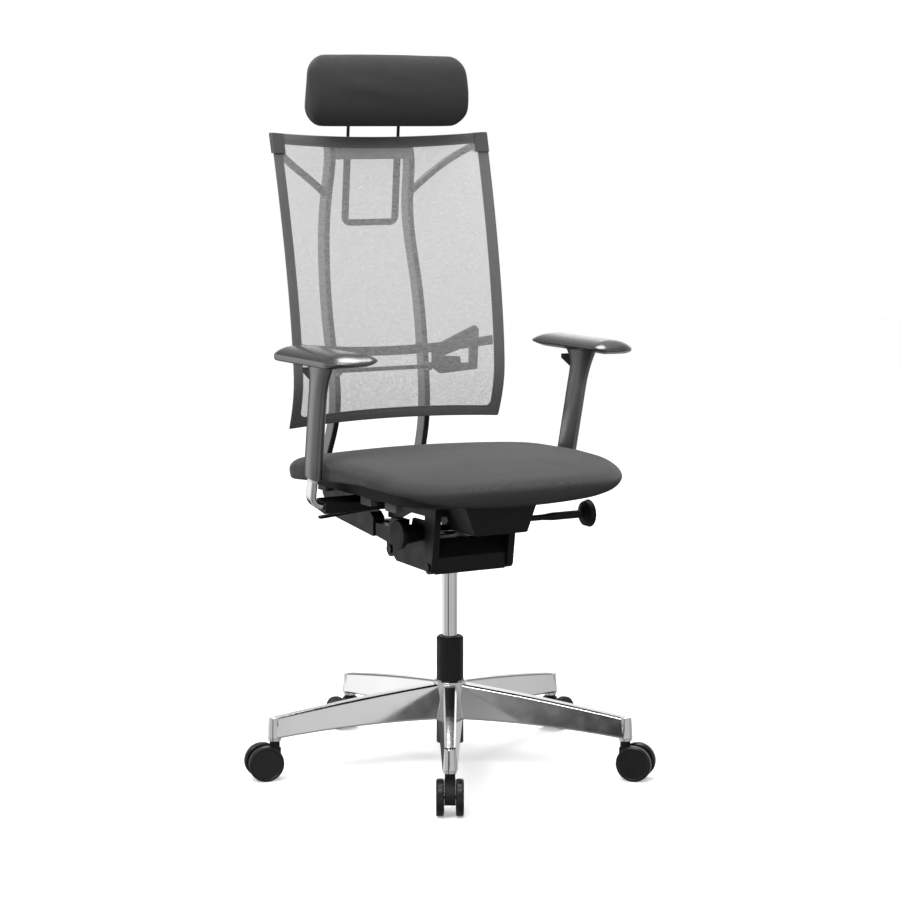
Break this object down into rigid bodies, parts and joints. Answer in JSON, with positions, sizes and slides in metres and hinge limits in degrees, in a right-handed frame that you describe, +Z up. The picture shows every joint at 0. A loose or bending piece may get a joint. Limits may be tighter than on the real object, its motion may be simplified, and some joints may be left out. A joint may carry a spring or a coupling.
{
  "type": "swivel office chair",
  "caption": "Swivel office chair with castors, gas lift, cushioned seat, mesh back, adjustable headrest and armrests.",
  "frame": {"origin": "on the floor under the middle of the column", "axes": "+Z up; the chair faces -Y; +X towards the sitter's left"},
  "size_m": [0.7459, 0.7338, 1.309],
  "materials": {
    "polished_alloy": "polished",
    "satin_alloy": "satin",
    "grey_paint": "satin metallic",
    "chrome": "polished",
    "bright_steel": "brushed",
    "black_metal": "satin",
    "black_plastic": "fine texture",
    "grey_plastic": "matte",
    "wheel_plastic": "satin",
    "seat_fabric": "fine weave",
    "headrest_fabric": "fine weave",
    "mesh_fabric": "open knitted mesh",
    "band_fabric": "woven edge band"
  },
  "bodies": {
    "base": {"base_star": "polished_alloy", "gas_tube": "black_metal", "tube_bush": "black_plastic", "piston_rod": "bright_steel", "rod_clip": "bright_steel"},
    "castor_1": {"castor_1_housing": "black_plastic", "castor_1_pins": "bright_steel"},
    "castor_1_roller_a": {"castor_1_wheel_a": "wheel_plastic"},
    "castor_1_roller_b": {"castor_1_wheel_b": "wheel_plastic"},
    "castor_2": {"castor_2_housing": "black_plastic", "castor_2_pins": "bright_steel"},
    "castor_2_roller_a": {"castor_2_wheel_a": "wheel_plastic"},
    "castor_2_roller_b": {"castor_2_wheel_b": "wheel_plastic"},
    "castor_3": {"castor_3_housing": "black_plastic", "castor_3_pins": "bright_steel"},
    "castor_3_roller_a": {"castor_3_wheel_a": "wheel_plastic"},
    "castor_3_roller_b": {"castor_3_wheel_b": "wheel_plastic"},
    "castor_4": {"castor_4_housing": "black_plastic", "castor_4_pins": "bright_steel"},
    "castor_4_roller_a": {"castor_4_wheel_a": "wheel_plastic"},
    "castor_4_roller_b": {"castor_4_wheel_b": "wheel_plastic"},
    "castor_5": {"castor_5_housing": "black_plastic", "castor_5_pins": "bright_steel"},
    "castor_5_roller_a": {"castor_5_wheel_a": "wheel_plastic"},
    "castor_5_roller_b": {"castor_5_wheel_b": "wheel_plastic"},
    "column": {"gas_cylinder": "chrome"},
    "mechanism": {"mech_housing": "black_metal", "pivot_pins": "black_metal", "tension_spring": "black_metal"},
    "tension_adjuster": {"tension_knob": "black_plastic"},
    "height_control": {"height_lever": "black_metal", "height_knob": "black_plastic"},
    "seat_carriage": {"seat_carrier": "black_metal", "arm_covers": "black_plastic", "left_arm_bracket": "polished_alloy", "right_arm_bracket": "polished_alloy"},
    "lock_control": {"lock_lever": "black_plastic"},
    "seat": {"seat_pan": "black_plastic", "seat_cushion": "seat_fabric"},
    "depth_control": {"depth_button": "grey_plastic"},
    "tilt_control": {"tilt_button": "grey_plastic"},
    "back": {"back_carrier": "black_metal", "left_upright": "satin_alloy", "right_upright": "satin_alloy", "top_beam": "satin_alloy", "corner_caps": "grey_plastic", "back_frame": "band_fabric", "mesh_panel": "mesh_fabric", "lumbar_crossbar": "grey_plastic"},
    "lumbar_adjuster": {"lumbar_rod": "black_metal", "lumbar_lever": "grey_plastic"},
    "headrest_slider": {"headrest_loop": "black_metal"},
    "headrest": {"headrest_shell": "black_plastic", "headrest_pad": "headrest_fabric"},
    "left_armrest": {"left_arm_sleeve": "grey_paint", "left_arm_pad": "grey_paint"},
    "left_arm_control": {"left_arm_button": "black_plastic"},
    "right_armrest": {"right_arm_sleeve": "grey_paint", "right_arm_pad": "grey_paint"},
    "right_arm_control": {"right_arm_button": "black_plastic"}
  },
  "joints": [
    {"name": "castor_1_swivel", "type": "hinge", "parent": "base", "child": "castor_1", "pos_m": [-0.1675, -0.29012, 0.071], "axis": [0, 0, 1], "continuous": true},
    {"name": "castor_1_roll_a", "type": "hinge", "parent": "castor_1", "child": "castor_1_roller_a", "pos_m": [-0.1775, -0.30744, 0.0325], "axis": [0.866, -0.5, 0], "continuous": true},
    {"name": "castor_1_roll_b", "type": "hinge", "parent": "castor_1", "child": "castor_1_roller_b", "pos_m": [-0.1775, -0.30744, 0.0325], "axis": [0.866, -0.5, 0], "continuous": true},
    {"name": "castor_2_swivel", "type": "hinge", "parent": "base", "child": "castor_2", "pos_m": [0.22416, -0.24895, 0.071], "axis": [0, 0, 1], "continuous": true},
    {"name": "castor_2_roll_a", "type": "hinge", "parent": "castor_2", "child": "castor_2_roller_a", "pos_m": [0.23754, -0.26382, 0.0325], "axis": [0.7431, 0.6691, 0], "continuous": true},
    {"name": "castor_2_roll_b", "type": "hinge", "parent": "castor_2", "child": "castor_2_roller_b", "pos_m": [0.23754, -0.26382, 0.0325], "axis": [0.7431, 0.6691, 0], "continuous": true},
    {"name": "castor_3_swivel", "type": "hinge", "parent": "base", "child": "castor_3", "pos_m": [0.30604, 0.13626, 0.071], "axis": [0, 0, 1], "continuous": true},
    {"name": "castor_3_roll_a", "type": "hinge", "parent": "castor_3", "child": "castor_3_roller_a", "pos_m": [0.32431, 0.14439, 0.0325], "axis": [-0.4067, 0.9135, 0], "continuous": true},
    {"name": "castor_3_roll_b", "type": "hinge", "parent": "castor_3", "child": "castor_3_roller_b", "pos_m": [0.32431, 0.14439, 0.0325], "axis": [-0.4067, 0.9135, 0], "continuous": true},
    {"name": "castor_4_swivel", "type": "hinge", "parent": "base", "child": "castor_4", "pos_m": [-0.03502, 0.33316, 0.071], "axis": [0, 0, 1], "continuous": true},
    {"name": "castor_4_roll_a", "type": "hinge", "parent": "castor_4", "child": "castor_4_roller_a", "pos_m": [-0.03711, 0.35306, 0.0325], "axis": [-0.9945, -0.1045, 0], "continuous": true},
    {"name": "castor_4_roll_b", "type": "hinge", "parent": "castor_4", "child": "castor_4_roller_b", "pos_m": [-0.03711, 0.35306, 0.0325], "axis": [-0.9945, -0.1045, 0], "continuous": true},
    {"name": "castor_5_swivel", "type": "hinge", "parent": "base", "child": "castor_5", "pos_m": [-0.32768, 0.06965, 0.071], "axis": [0, 0, 1], "continuous": true},
    {"name": "castor_5_roll_a", "type": "hinge", "parent": "castor_5", "child": "castor_5_roller_a", "pos_m": [-0.34724, 0.07381, 0.0325], "axis": [-0.2079, -0.9781, 0], "continuous": true},
    {"name": "castor_5_roll_b", "type": "hinge", "parent": "castor_5", "child": "castor_5_roller_b", "pos_m": [-0.34724, 0.07381, 0.0325], "axis": [-0.2079, -0.9781, 0], "continuous": true},
    {"name": "seat_height", "type": "slide", "parent": "base", "child": "column", "axis": [0, 0, 1], "range_m": [-0.11, 0]},
    {"name": "seat_swivel", "type": "hinge", "parent": "column", "child": "mechanism", "pos_m": [0, 0, 0.4], "axis": [0, 0, 1], "continuous": true},
    {"name": "tension_turn", "type": "hinge", "parent": "mechanism", "child": "tension_adjuster", "pos_m": [-0.1, -0.015, 0.444], "axis": [1, 0, 0], "range_deg": [0, 720]},
    {"name": "height_lever_lift", "type": "hinge", "parent": "mechanism", "child": "height_control", "pos_m": [0.069, -0.04, 0.4565], "axis": [0, -1, 0], "range_deg": [0, 5], "stiffness_Nm_per_rad": 20, "springref_deg": -3.44},
    {"name": "back_recline", "type": "hinge", "parent": "mechanism", "child": "back", "pos_m": [0, 0.102, 0.397], "axis": [-1, 0, 0], "range_deg": [0, 22]},
    {"name": "seat_tilt", "type": "hinge", "parent": "mechanism", "child": "seat_carriage", "pos_m": [0, -0.07, 0.389], "axis": [-1, 0, 0], "range_deg": [0, 8]},
    {"name": "lock_lever_turn", "type": "hinge", "parent": "seat_carriage", "child": "lock_control", "pos_m": [-0.082, 0.066, 0.489], "axis": [0, 1, 0], "range_deg": [-8, 8]},
    {"name": "seat_depth", "type": "slide", "parent": "seat_carriage", "child": "seat", "axis": [0, -1, 0], "range_m": [0, 0.05]},
    {"name": "depth_button_press", "type": "slide", "parent": "seat", "child": "depth_control", "axis": [1, 0, 0], "range_m": [0, 0.003], "stiffness_N_per_m": 600, "springref_m": -0.003},
    {"name": "tilt_button_press", "type": "slide", "parent": "seat", "child": "tilt_control", "axis": [1, 0, 0], "range_m": [0, 0.003], "stiffness_N_per_m": 600, "springref_m": -0.003},
    {"name": "lumbar_turn", "type": "hinge", "parent": "back", "child": "lumbar_adjuster", "pos_m": [0, 0.251, 0.718], "axis": [-1, 0, 0], "range_deg": [0, 40]},
    {"name": "headrest_height", "type": "slide", "parent": "back", "child": "headrest_slider", "axis": [0, -0.0872, 0.9962], "range_m": [0, 0.08]},
    {"name": "headrest_tilt", "type": "hinge", "parent": "headrest_slider", "child": "headrest", "pos_m": [0, 0.2855, 1.24], "axis": [1, 0, 0], "range_deg": [-10, 15]},
    {"name": "left_armrest_height", "type": "slide", "parent": "seat_carriage", "child": "left_armrest", "axis": [0.0349, -0.2078, 0.9776], "range_m": [0, 0.09]},
    {"name": "left_arm_button_lift", "type": "slide", "parent": "left_armrest", "child": "left_arm_control", "axis": [0, 0, 1], "range_m": [0, 0.003], "stiffness_N_per_m": 500, "springref_m": -0.003},
    {"name": "right_armrest_height", "type": "slide", "parent": "seat_carriage", "child": "right_armrest", "axis": [-0.0349, -0.2078, 0.9776], "range_m": [0, 0.09]},
    {"name": "right_arm_button_lift", "type": "slide", "parent": "right_armrest", "child": "right_arm_control", "axis": [0, 0, 1], "range_m": [0, 0.003], "stiffness_N_per_m": 500, "springref_m": -0.003}
  ],
  "couplings": [
    {"joint": "seat_tilt", "follows": "back_recline", "ratio": 0.3635}
  ]
}
